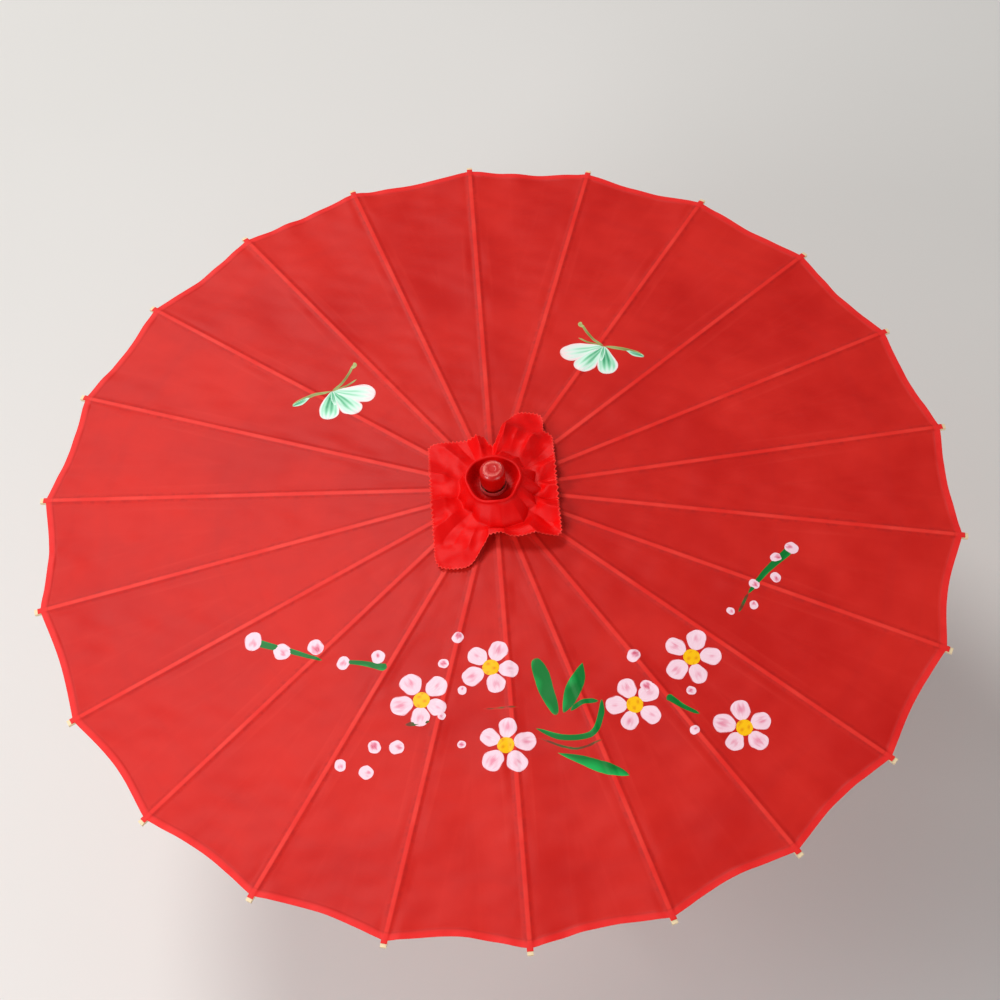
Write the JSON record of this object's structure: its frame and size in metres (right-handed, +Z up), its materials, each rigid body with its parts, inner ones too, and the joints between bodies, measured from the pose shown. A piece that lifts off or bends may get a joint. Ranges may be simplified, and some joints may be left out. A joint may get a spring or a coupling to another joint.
{
  "type": "oil paper umbrella",
  "caption": "Open folding parasol with a shallow red cloth canopy on bamboo ribs, a tied collar cloth and knob on top, a sliding runner, a spring catch and a straight wooden handle.",
  "frame": {"origin": "middle of the hand grip, on the shaft's axis", "axes": "+Z up along the shaft towards the canopy and finial, +Y towards rib_01, -Y towards the spring catch"},
  "size_m": [0.8148, 0.8226, 0.5343],
  "materials": {
    "canopy_cloth": "fine red silk, oiled, slight sheen, painted with flowers and butterflies",
    "collar_cloth": "bright red satin weave with pinked edges",
    "tie_thread": "twisted red thread",
    "rib_bamboo": "split bamboo, natural, upper face dyed red where the cloth is glued",
    "stretcher_bamboo": "split bamboo, natural",
    "notch_wood": "pale turned wood, smooth",
    "turned_wood": "brown varnished wood",
    "red_lacquer": "red lacquer on turned wood, worn at the crown",
    "steel_wire": "drawn steel wire",
    "steel_strip": "pressed steel strip"
  },
  "bodies": {
    "frame": {"shaft": "turned_wood", "top_hub": "notch_wood", "hub_lacing_wire": "steel_wire", "finial": "red_lacquer", "handle": "turned_wood", "end_cap": "red_lacquer", "stop_pin": "steel_wire", "catch_pin": "steel_wire", "canopy": "canopy_cloth", "collar_cloth": "collar_cloth", "collar_tie": "tie_thread"},
    "rib_01": {"rib_01": "rib_bamboo"},
    "stretcher_01": {"stretcher_01": "stretcher_bamboo"},
    "rib_02": {"rib_02": "rib_bamboo"},
    "stretcher_02": {"stretcher_02": "stretcher_bamboo"},
    "rib_03": {"rib_03": "rib_bamboo"},
    "stretcher_03": {"stretcher_03": "stretcher_bamboo"},
    "rib_04": {"rib_04": "rib_bamboo"},
    "stretcher_04": {"stretcher_04": "stretcher_bamboo"},
    "rib_05": {"rib_05": "rib_bamboo"},
    "stretcher_05": {"stretcher_05": "stretcher_bamboo"},
    "rib_06": {"rib_06": "rib_bamboo"},
    "stretcher_06": {"stretcher_06": "stretcher_bamboo"},
    "rib_07": {"rib_07": "rib_bamboo"},
    "stretcher_07": {"stretcher_07": "stretcher_bamboo"},
    "rib_08": {"rib_08": "rib_bamboo"},
    "stretcher_08": {"stretcher_08": "stretcher_bamboo"},
    "rib_09": {"rib_09": "rib_bamboo"},
    "stretcher_09": {"stretcher_09": "stretcher_bamboo"},
    "rib_10": {"rib_10": "rib_bamboo"},
    "stretcher_10": {"stretcher_10": "stretcher_bamboo"},
    "rib_11": {"rib_11": "rib_bamboo"},
    "stretcher_11": {"stretcher_11": "stretcher_bamboo"},
    "rib_12": {"rib_12": "rib_bamboo"},
    "stretcher_12": {"stretcher_12": "stretcher_bamboo"},
    "rib_13": {"rib_13": "rib_bamboo"},
    "stretcher_13": {"stretcher_13": "stretcher_bamboo"},
    "rib_14": {"rib_14": "rib_bamboo"},
    "stretcher_14": {"stretcher_14": "stretcher_bamboo"},
    "rib_15": {"rib_15": "rib_bamboo"},
    "stretcher_15": {"stretcher_15": "stretcher_bamboo"},
    "rib_16": {"rib_16": "rib_bamboo"},
    "stretcher_16": {"stretcher_16": "stretcher_bamboo"},
    "rib_17": {"rib_17": "rib_bamboo"},
    "stretcher_17": {"stretcher_17": "stretcher_bamboo"},
    "rib_18": {"rib_18": "rib_bamboo"},
    "stretcher_18": {"stretcher_18": "stretcher_bamboo"},
    "rib_19": {"rib_19": "rib_bamboo"},
    "stretcher_19": {"stretcher_19": "stretcher_bamboo"},
    "rib_20": {"rib_20": "rib_bamboo"},
    "stretcher_20": {"stretcher_20": "stretcher_bamboo"},
    "rib_21": {"rib_21": "rib_bamboo"},
    "stretcher_21": {"stretcher_21": "stretcher_bamboo"},
    "rib_22": {"rib_22": "rib_bamboo"},
    "stretcher_22": {"stretcher_22": "stretcher_bamboo"},
    "runner": {"runner": "notch_wood", "runner_lacing_wire": "steel_wire"},
    "latch": {"spring_catch": "steel_strip"}
  },
  "joints": [
    {"name": "umbrella_fold", "type": "hinge", "parent": "frame", "child": "rib_01", "pos_m": [0, 0.017, 0.443], "axis": [-1, 0, 0], "range_deg": [0, 76.76], "deforming": ["canopy", "collar_cloth", "spring_catch"]},
    {"name": "stretcher_01_hinge", "type": "hinge", "parent": "rib_01", "child": "stretcher_01", "pos_m": [0, 0.18525, 0.41864], "axis": [-1, 0, 0], "range_deg": [-153.52, 0]},
    {"name": "rib_02_hinge", "type": "hinge", "parent": "frame", "child": "rib_02", "pos_m": [0.00479, 0.01631, 0.443], "axis": [-0.9595, 0.2817, 0], "range_deg": [0, 76.76]},
    {"name": "stretcher_02_hinge", "type": "hinge", "parent": "rib_02", "child": "stretcher_02", "pos_m": [0.05219, 0.17774, 0.41864], "axis": [-0.9595, 0.2817, 0], "range_deg": [-153.52, 0]},
    {"name": "rib_03_hinge", "type": "hinge", "parent": "frame", "child": "rib_03", "pos_m": [0.00919, 0.0143, 0.443], "axis": [-0.8413, 0.5406, 0], "range_deg": [0, 76.76]},
    {"name": "stretcher_03_hinge", "type": "hinge", "parent": "rib_03", "child": "stretcher_03", "pos_m": [0.10015, 0.15584, 0.41864], "axis": [-0.8413, 0.5406, 0], "range_deg": [-153.52, 0]},
    {"name": "rib_04_hinge", "type": "hinge", "parent": "frame", "child": "rib_04", "pos_m": [0.01285, 0.01113, 0.443], "axis": [-0.6549, 0.7557, 0], "range_deg": [0, 76.76]},
    {"name": "stretcher_04_hinge", "type": "hinge", "parent": "rib_04", "child": "stretcher_04", "pos_m": [0.14, 0.12131, 0.41864], "axis": [-0.6549, 0.7557, 0], "range_deg": [-153.52, 0]},
    {"name": "rib_05_hinge", "type": "hinge", "parent": "frame", "child": "rib_05", "pos_m": [0.01546, 0.00706, 0.443], "axis": [-0.4154, 0.9096, 0], "range_deg": [0, 76.76]},
    {"name": "stretcher_05_hinge", "type": "hinge", "parent": "rib_05", "child": "stretcher_05", "pos_m": [0.16851, 0.07695, 0.41864], "axis": [-0.4154, 0.9096, 0], "range_deg": [-153.52, 0]},
    {"name": "rib_06_hinge", "type": "hinge", "parent": "frame", "child": "rib_06", "pos_m": [0.01683, 0.00242, 0.443], "axis": [-0.1423, 0.9898, 0], "range_deg": [0, 76.76]},
    {"name": "stretcher_06_hinge", "type": "hinge", "parent": "rib_06", "child": "stretcher_06", "pos_m": [0.18336, 0.02636, 0.41864], "axis": [-0.1423, 0.9898, 0], "range_deg": [-153.52, 0]},
    {"name": "rib_07_hinge", "type": "hinge", "parent": "frame", "child": "rib_07", "pos_m": [0.01683, -0.00242, 0.443], "axis": [0.1423, 0.9898, 0], "range_deg": [0, 76.76]},
    {"name": "stretcher_07_hinge", "type": "hinge", "parent": "rib_07", "child": "stretcher_07", "pos_m": [0.18336, -0.02636, 0.41864], "axis": [0.1423, 0.9898, 0], "range_deg": [-153.52, 0]},
    {"name": "rib_08_hinge", "type": "hinge", "parent": "frame", "child": "rib_08", "pos_m": [0.01546, -0.00706, 0.443], "axis": [0.4154, 0.9096, 0], "range_deg": [0, 76.76]},
    {"name": "stretcher_08_hinge", "type": "hinge", "parent": "rib_08", "child": "stretcher_08", "pos_m": [0.16851, -0.07695, 0.41864], "axis": [0.4154, 0.9096, 0], "range_deg": [-153.52, 0]},
    {"name": "rib_09_hinge", "type": "hinge", "parent": "frame", "child": "rib_09", "pos_m": [0.01285, -0.01113, 0.443], "axis": [0.6549, 0.7557, 0], "range_deg": [0, 76.76]},
    {"name": "stretcher_09_hinge", "type": "hinge", "parent": "rib_09", "child": "stretcher_09", "pos_m": [0.14, -0.12131, 0.41864], "axis": [0.6549, 0.7557, 0], "range_deg": [-153.52, 0]},
    {"name": "rib_10_hinge", "type": "hinge", "parent": "frame", "child": "rib_10", "pos_m": [0.00919, -0.0143, 0.443], "axis": [0.8413, 0.5406, 0], "range_deg": [0, 76.76]},
    {"name": "stretcher_10_hinge", "type": "hinge", "parent": "rib_10", "child": "stretcher_10", "pos_m": [0.10015, -0.15584, 0.41864], "axis": [0.8413, 0.5406, 0], "range_deg": [-153.52, 0]},
    {"name": "rib_11_hinge", "type": "hinge", "parent": "frame", "child": "rib_11", "pos_m": [0.00479, -0.01631, 0.443], "axis": [0.9595, 0.2817, 0], "range_deg": [0, 76.76]},
    {"name": "stretcher_11_hinge", "type": "hinge", "parent": "rib_11", "child": "stretcher_11", "pos_m": [0.05219, -0.17774, 0.41864], "axis": [0.9595, 0.2817, 0], "range_deg": [-153.52, 0]},
    {"name": "rib_12_hinge", "type": "hinge", "parent": "frame", "child": "rib_12", "pos_m": [0, -0.017, 0.443], "axis": [1, 0, 0], "range_deg": [0, 76.76]},
    {"name": "stretcher_12_hinge", "type": "hinge", "parent": "rib_12", "child": "stretcher_12", "pos_m": [0, -0.18525, 0.41864], "axis": [1, 0, 0], "range_deg": [-153.52, 0]},
    {"name": "rib_13_hinge", "type": "hinge", "parent": "frame", "child": "rib_13", "pos_m": [-0.00479, -0.01631, 0.443], "axis": [0.9595, -0.2817, 0], "range_deg": [0, 76.76]},
    {"name": "stretcher_13_hinge", "type": "hinge", "parent": "rib_13", "child": "stretcher_13", "pos_m": [-0.05219, -0.17774, 0.41864], "axis": [0.9595, -0.2817, 0], "range_deg": [-153.52, 0]},
    {"name": "rib_14_hinge", "type": "hinge", "parent": "frame", "child": "rib_14", "pos_m": [-0.00919, -0.0143, 0.443], "axis": [0.8413, -0.5406, 0], "range_deg": [0, 76.76]},
    {"name": "stretcher_14_hinge", "type": "hinge", "parent": "rib_14", "child": "stretcher_14", "pos_m": [-0.10015, -0.15584, 0.41864], "axis": [0.8413, -0.5406, 0], "range_deg": [-153.52, 0]},
    {"name": "rib_15_hinge", "type": "hinge", "parent": "frame", "child": "rib_15", "pos_m": [-0.01285, -0.01113, 0.443], "axis": [0.6549, -0.7557, 0], "range_deg": [0, 76.76]},
    {"name": "stretcher_15_hinge", "type": "hinge", "parent": "rib_15", "child": "stretcher_15", "pos_m": [-0.14, -0.12131, 0.41864], "axis": [0.6549, -0.7557, 0], "range_deg": [-153.52, 0]},
    {"name": "rib_16_hinge", "type": "hinge", "parent": "frame", "child": "rib_16", "pos_m": [-0.01546, -0.00706, 0.443], "axis": [0.4154, -0.9096, 0], "range_deg": [0, 76.76]},
    {"name": "stretcher_16_hinge", "type": "hinge", "parent": "rib_16", "child": "stretcher_16", "pos_m": [-0.16851, -0.07695, 0.41864], "axis": [0.4154, -0.9096, 0], "range_deg": [-153.52, 0]},
    {"name": "rib_17_hinge", "type": "hinge", "parent": "frame", "child": "rib_17", "pos_m": [-0.01683, -0.00242, 0.443], "axis": [0.1423, -0.9898, 0], "range_deg": [0, 76.76]},
    {"name": "stretcher_17_hinge", "type": "hinge", "parent": "rib_17", "child": "stretcher_17", "pos_m": [-0.18336, -0.02636, 0.41864], "axis": [0.1423, -0.9898, 0], "range_deg": [-153.52, 0]},
    {"name": "rib_18_hinge", "type": "hinge", "parent": "frame", "child": "rib_18", "pos_m": [-0.01683, 0.00242, 0.443], "axis": [-0.1423, -0.9898, 0], "range_deg": [0, 76.76]},
    {"name": "stretcher_18_hinge", "type": "hinge", "parent": "rib_18", "child": "stretcher_18", "pos_m": [-0.18336, 0.02636, 0.41864], "axis": [-0.1423, -0.9898, 0], "range_deg": [-153.52, 0]},
    {"name": "rib_19_hinge", "type": "hinge", "parent": "frame", "child": "rib_19", "pos_m": [-0.01546, 0.00706, 0.443], "axis": [-0.4154, -0.9096, 0], "range_deg": [0, 76.76]},
    {"name": "stretcher_19_hinge", "type": "hinge", "parent": "rib_19", "child": "stretcher_19", "pos_m": [-0.16851, 0.07695, 0.41864], "axis": [-0.4154, -0.9096, 0], "range_deg": [-153.52, 0]},
    {"name": "rib_20_hinge", "type": "hinge", "parent": "frame", "child": "rib_20", "pos_m": [-0.01285, 0.01113, 0.443], "axis": [-0.6549, -0.7557, 0], "range_deg": [0, 76.76]},
    {"name": "stretcher_20_hinge", "type": "hinge", "parent": "rib_20", "child": "stretcher_20", "pos_m": [-0.14, 0.12131, 0.41864], "axis": [-0.6549, -0.7557, 0], "range_deg": [-153.52, 0]},
    {"name": "rib_21_hinge", "type": "hinge", "parent": "frame", "child": "rib_21", "pos_m": [-0.00919, 0.0143, 0.443], "axis": [-0.8413, -0.5406, 0], "range_deg": [0, 76.76]},
    {"name": "stretcher_21_hinge", "type": "hinge", "parent": "rib_21", "child": "stretcher_21", "pos_m": [-0.10015, 0.15584, 0.41864], "axis": [-0.8413, -0.5406, 0], "range_deg": [-153.52, 0]},
    {"name": "rib_22_hinge", "type": "hinge", "parent": "frame", "child": "rib_22", "pos_m": [-0.00479, 0.01631, 0.443], "axis": [-0.9595, -0.2817, 0], "range_deg": [0, 76.76]},
    {"name": "stretcher_22_hinge", "type": "hinge", "parent": "rib_22", "child": "stretcher_22", "pos_m": [-0.05219, 0.17774, 0.41864], "axis": [-0.9595, -0.2817, 0], "range_deg": [-153.52, 0]},
    {"name": "runner_hinge", "type": "hinge", "parent": "stretcher_01", "child": "runner", "pos_m": [0, 0.017, 0.39429], "axis": [-1, 0, 0], "range_deg": [0, 76.76]},
    {"name": "catch_press", "type": "hinge", "parent": "frame", "child": "latch", "pos_m": [0, -0.0035, 0.31979], "axis": [-1, 0, 0], "range_deg": [0, 8], "stiffness_Nm_per_rad": 0.05, "springref_deg": -5.73}
  ],
  "couplings": [
    {"joint": "stretcher_01_hinge", "follows": "umbrella_fold", "ratio": -2},
    {"joint": "rib_02_hinge", "follows": "umbrella_fold", "ratio": 1},
    {"joint": "stretcher_02_hinge", "follows": "umbrella_fold", "ratio": -2},
    {"joint": "rib_03_hinge", "follows": "umbrella_fold", "ratio": 1},
    {"joint": "stretcher_03_hinge", "follows": "umbrella_fold", "ratio": -2},
    {"joint": "rib_04_hinge", "follows": "umbrella_fold", "ratio": 1},
    {"joint": "stretcher_04_hinge", "follows": "umbrella_fold", "ratio": -2},
    {"joint": "rib_05_hinge", "follows": "umbrella_fold", "ratio": 1},
    {"joint": "stretcher_05_hinge", "follows": "umbrella_fold", "ratio": -2},
    {"joint": "rib_06_hinge", "follows": "umbrella_fold", "ratio": 1},
    {"joint": "stretcher_06_hinge", "follows": "umbrella_fold", "ratio": -2},
    {"joint": "rib_07_hinge", "follows": "umbrella_fold", "ratio": 1},
    {"joint": "stretcher_07_hinge", "follows": "umbrella_fold", "ratio": -2},
    {"joint": "rib_08_hinge", "follows": "umbrella_fold", "ratio": 1},
    {"joint": "stretcher_08_hinge", "follows": "umbrella_fold", "ratio": -2},
    {"joint": "rib_09_hinge", "follows": "umbrella_fold", "ratio": 1},
    {"joint": "stretcher_09_hinge", "follows": "umbrella_fold", "ratio": -2},
    {"joint": "rib_10_hinge", "follows": "umbrella_fold", "ratio": 1},
    {"joint": "stretcher_10_hinge", "follows": "umbrella_fold", "ratio": -2},
    {"joint": "rib_11_hinge", "follows": "umbrella_fold", "ratio": 1},
    {"joint": "stretcher_11_hinge", "follows": "umbrella_fold", "ratio": -2},
    {"joint": "rib_12_hinge", "follows": "umbrella_fold", "ratio": 1},
    {"joint": "stretcher_12_hinge", "follows": "umbrella_fold", "ratio": -2},
    {"joint": "rib_13_hinge", "follows": "umbrella_fold", "ratio": 1},
    {"joint": "stretcher_13_hinge", "follows": "umbrella_fold", "ratio": -2},
    {"joint": "rib_14_hinge", "follows": "umbrella_fold", "ratio": 1},
    {"joint": "stretcher_14_hinge", "follows": "umbrella_fold", "ratio": -2},
    {"joint": "rib_15_hinge", "follows": "umbrella_fold", "ratio": 1},
    {"joint": "stretcher_15_hinge", "follows": "umbrella_fold", "ratio": -2},
    {"joint": "rib_16_hinge", "follows": "umbrella_fold", "ratio": 1},
    {"joint": "stretcher_16_hinge", "follows": "umbrella_fold", "ratio": -2},
    {"joint": "rib_17_hinge", "follows": "umbrella_fold", "ratio": 1},
    {"joint": "stretcher_17_hinge", "follows": "umbrella_fold", "ratio": -2},
    {"joint": "rib_18_hinge", "follows": "umbrella_fold", "ratio": 1},
    {"joint": "stretcher_18_hinge", "follows": "umbrella_fold", "ratio": -2},
    {"joint": "rib_19_hinge", "follows": "umbrella_fold", "ratio": 1},
    {"joint": "stretcher_19_hinge", "follows": "umbrella_fold", "ratio": -2},
    {"joint": "rib_20_hinge", "follows": "umbrella_fold", "ratio": 1},
    {"joint": "stretcher_20_hinge", "follows": "umbrella_fold", "ratio": -2},
    {"joint": "rib_21_hinge", "follows": "umbrella_fold", "ratio": 1},
    {"joint": "stretcher_21_hinge", "follows": "umbrella_fold", "ratio": -2},
    {"joint": "rib_22_hinge", "follows": "umbrella_fold", "ratio": 1},
    {"joint": "stretcher_22_hinge", "follows": "umbrella_fold", "ratio": -2},
    {"joint": "runner_hinge", "follows": "umbrella_fold", "ratio": 1}
  ]
}
